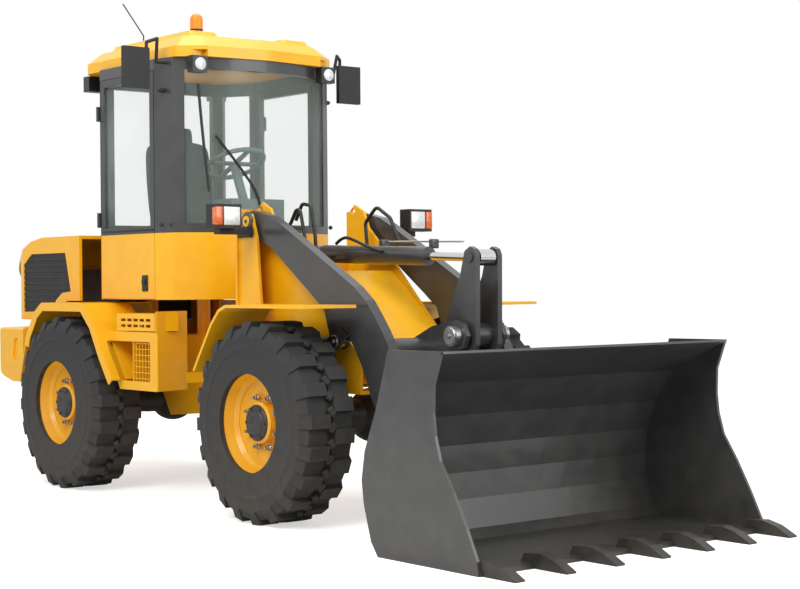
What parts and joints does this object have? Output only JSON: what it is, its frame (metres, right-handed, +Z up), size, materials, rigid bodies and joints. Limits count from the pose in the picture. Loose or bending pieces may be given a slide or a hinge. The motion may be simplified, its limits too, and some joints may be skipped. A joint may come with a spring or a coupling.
{
  "type": "articulated wheel loader",
  "caption": "Compact articulated wheel loader with a glazed cab, a reverse-linkage boom, a toothed bucket, hinged doors and a tilting hood.",
  "frame": {"origin": "on the floor under the middle of the whole length and width", "axes": "+X forward to the bucket, +Y to the left of the operator, +Z up"},
  "size_m": [5.29, 1.902, 2.9723],
  "materials": {
    "yellow_paint": "gloss",
    "dark_grey_paint": "satin",
    "black_paint": "satin",
    "black_plastic": "matte",
    "grey_plastic": "matte",
    "seat_fabric": "matte",
    "tinted_glass": "clear",
    "lamp_lens": "gloss",
    "hose_rubber": "matte",
    "tyre_rubber": "matte",
    "rim_paint": "gloss",
    "chrome_rod": "polished",
    "pin_steel": "satin",
    "engine_iron": "matte"
  },
  "bodies": {
    "rear": {"rear_frame": "yellow_paint", "counterweight": "yellow_paint", "rear_axle": "black_paint", "engine_block": "engine_iron", "fender_steps": "yellow_paint", "cab_shell": "yellow_paint", "cab_frame": "dark_grey_paint", "cab_roof": "yellow_paint", "cab_glass": "tinted_glass", "cab_console": "grey_plastic", "seat": "seat_fabric", "roof_lamps": "lamp_lens", "cab_rails": "black_plastic"},
    "hood_lid": {"hood": "yellow_paint", "hood_grilles": "black_plastic"},
    "right_door": {"door_right": "dark_grey_paint", "door_right_glass": "tinted_glass"},
    "left_door": {"door_left": "dark_grey_paint", "door_left_glass": "tinted_glass"},
    "front": {"front_frame": "yellow_paint", "front_axle": "black_paint", "headlamps": "lamp_lens", "hoses": "hose_rubber"},
    "boom_arms": {"boom": "dark_grey_paint"},
    "bucket_pin_body": {"bucket_pins": "pin_steel"},
    "bucket_body": {"bucket": "dark_grey_paint", "bucket_teeth": "black_paint"},
    "crank_pin_body": {"bellcrank_pin": "pin_steel"},
    "crank": {"bellcrank": "dark_grey_paint"},
    "link_pin_body": {"link_pin": "pin_steel"},
    "link": {"tilt_link": "dark_grey_paint"},
    "tilt_cylinder": {"tilt_barrel": "dark_grey_paint"},
    "tilt_piston": {"tilt_rod": "chrome_rod"},
    "lift_cylinders": {"lift_barrels": "dark_grey_paint"},
    "lift_pistons": {"lift_rods": "chrome_rod"},
    "steer_cylinder": {"steering_barrel": "black_paint"},
    "steer_piston": {"steering_rod": "chrome_rod"},
    "wheel_fr": {"wheel_fr_rim": "rim_paint", "wheel_fr_tyre": "tyre_rubber"},
    "wheel_fl": {"wheel_fl_rim": "rim_paint", "wheel_fl_tyre": "tyre_rubber"},
    "wheel_rr": {"wheel_rr_rim": "rim_paint", "wheel_rr_tyre": "tyre_rubber"},
    "wheel_rl": {"wheel_rl_rim": "rim_paint", "wheel_rl_tyre": "tyre_rubber"}
  },
  "joints": [
    {"name": "wheel_spin_fr", "type": "hinge", "parent": "front", "child": "wheel_fr", "pos_m": [0.55, -0.675, 0.525], "axis": [0, 1, 0], "continuous": true},
    {"name": "wheel_spin_fl", "type": "hinge", "parent": "front", "child": "wheel_fl", "pos_m": [0.55, 0.675, 0.525], "axis": [0, 1, 0], "continuous": true},
    {"name": "wheel_spin_rr", "type": "hinge", "parent": "rear", "child": "wheel_rr", "pos_m": [-1.53, -0.675, 0.525], "axis": [0, 1, 0], "continuous": true},
    {"name": "wheel_spin_rl", "type": "hinge", "parent": "rear", "child": "wheel_rl", "pos_m": [-1.53, 0.675, 0.525], "axis": [0, 1, 0], "continuous": true},
    {"name": "articulation", "type": "hinge", "parent": "rear", "child": "front", "pos_m": [-0.49, 0, 0.72], "axis": [0, 0, 1], "range_deg": [-40, 40]},
    {"name": "boom_lift", "type": "hinge", "parent": "front", "child": "boom_arms", "pos_m": [0.005, 0, 1.59], "axis": [0, -1, 0], "range_deg": [0, 82]},
    {"name": "bucket_pin_turn", "type": "hinge", "parent": "boom_arms", "child": "bucket_pin_body", "pos_m": [1.43, 0, 0.365], "axis": [0, -1, 0], "range_deg": [-82, 0]},
    {"name": "bucket_tilt", "type": "hinge", "parent": "bucket_pin_body", "child": "bucket_body", "pos_m": [1.43, 0, 0.365], "axis": [0, -1, 0], "range_deg": [-45, 30]},
    {"name": "crank_pin_turn", "type": "hinge", "parent": "boom_arms", "child": "crank_pin_body", "pos_m": [1.39, 0, 0.975], "axis": [0, -1, 0], "range_deg": [0, 31.8]},
    {"name": "crank_tilt", "type": "hinge", "parent": "crank_pin_body", "child": "crank", "pos_m": [1.39, 0, 0.975], "axis": [0, -1, 0], "range_deg": [-6.9, 10.4]},
    {"name": "link_pin_turn", "type": "hinge", "parent": "bucket_body", "child": "link_pin_body", "pos_m": [1.65, 0, 0.565], "axis": [0, -1, 0], "range_deg": [0, 33.7]},
    {"name": "link_tilt", "type": "hinge", "parent": "link_pin_body", "child": "link", "pos_m": [1.65, 0, 0.565], "axis": [0, -1, 0], "range_deg": [-11.6, 17.4]},
    {"name": "tilt_cylinder_turn", "type": "hinge", "parent": "front", "child": "tilt_cylinder", "pos_m": [0.09, 0, 1.411], "axis": [0, -1, 0], "range_deg": [0, 80]},
    {"name": "tilt_piston_slide", "type": "slide", "parent": "tilt_cylinder", "child": "tilt_piston", "axis": [0.9995, 0, -0.0318], "range_m": [-0.055, 0.037]},
    {"name": "lift_cylinder_turn", "type": "hinge", "parent": "front", "child": "lift_cylinders", "pos_m": [-0.16, 0, 0.88], "axis": [0, -1, 0], "range_deg": [0, 53.8]},
    {"name": "lift_piston_slide", "type": "slide", "parent": "lift_cylinders", "child": "lift_pistons", "axis": [0.9979, 0, 0.0651], "range_m": [0, 0.775]},
    {"name": "steer_cylinder_turn", "type": "hinge", "parent": "rear", "child": "steer_cylinder", "pos_m": [-0.86, -0.15, 0.76], "axis": [0, 0, 1], "range_deg": [-11.9, 11.9]},
    {"name": "steer_piston_slide", "type": "slide", "parent": "steer_cylinder", "child": "steer_piston", "axis": [1, 0, 0], "range_m": [-0.102, 0.102]},
    {"name": "door_right_hinge", "type": "hinge", "parent": "rear", "child": "right_door", "pos_m": [-1.378, -0.611, 1.8], "axis": [0, 0, -1], "range_deg": [0, 95]},
    {"name": "door_left_hinge", "type": "hinge", "parent": "rear", "child": "left_door", "pos_m": [-1.378, 0.611, 1.8], "axis": [0, 0, 1], "range_deg": [0, 95]},
    {"name": "hood_hinge", "type": "hinge", "parent": "rear", "child": "hood_lid", "pos_m": [-2.59, 0, 1.045], "axis": [0, -1, 0], "range_deg": [0, 60]}
  ],
  "couplings": [
    {"joint": "bucket_pin_turn", "follows": "boom_lift", "ratio": -1},
    {"joint": "crank_pin_turn", "follows": "boom_lift", "ratio": 0.3868},
    {"joint": "link_pin_turn", "follows": "boom_lift", "ratio": 0.4093},
    {"joint": "tilt_cylinder_turn", "follows": "boom_lift", "ratio": 0.9738},
    {"joint": "lift_cylinder_turn", "follows": "boom_lift", "ratio": 0.655},
    {"joint": "lift_piston_slide", "follows": "boom_lift", "m_per_rad": 0.54},
    {"joint": "crank_tilt", "follows": "bucket_tilt", "ratio": -0.2295},
    {"joint": "link_tilt", "follows": "bucket_tilt", "ratio": -0.3845},
    {"joint": "tilt_piston_slide", "follows": "bucket_tilt", "m_per_rad": 0.0689},
    {"joint": "steer_cylinder_turn", "follows": "articulation", "ratio": 0.295},
    {"joint": "steer_piston_slide", "follows": "articulation", "m_per_rad": 0.145}
  ]
}
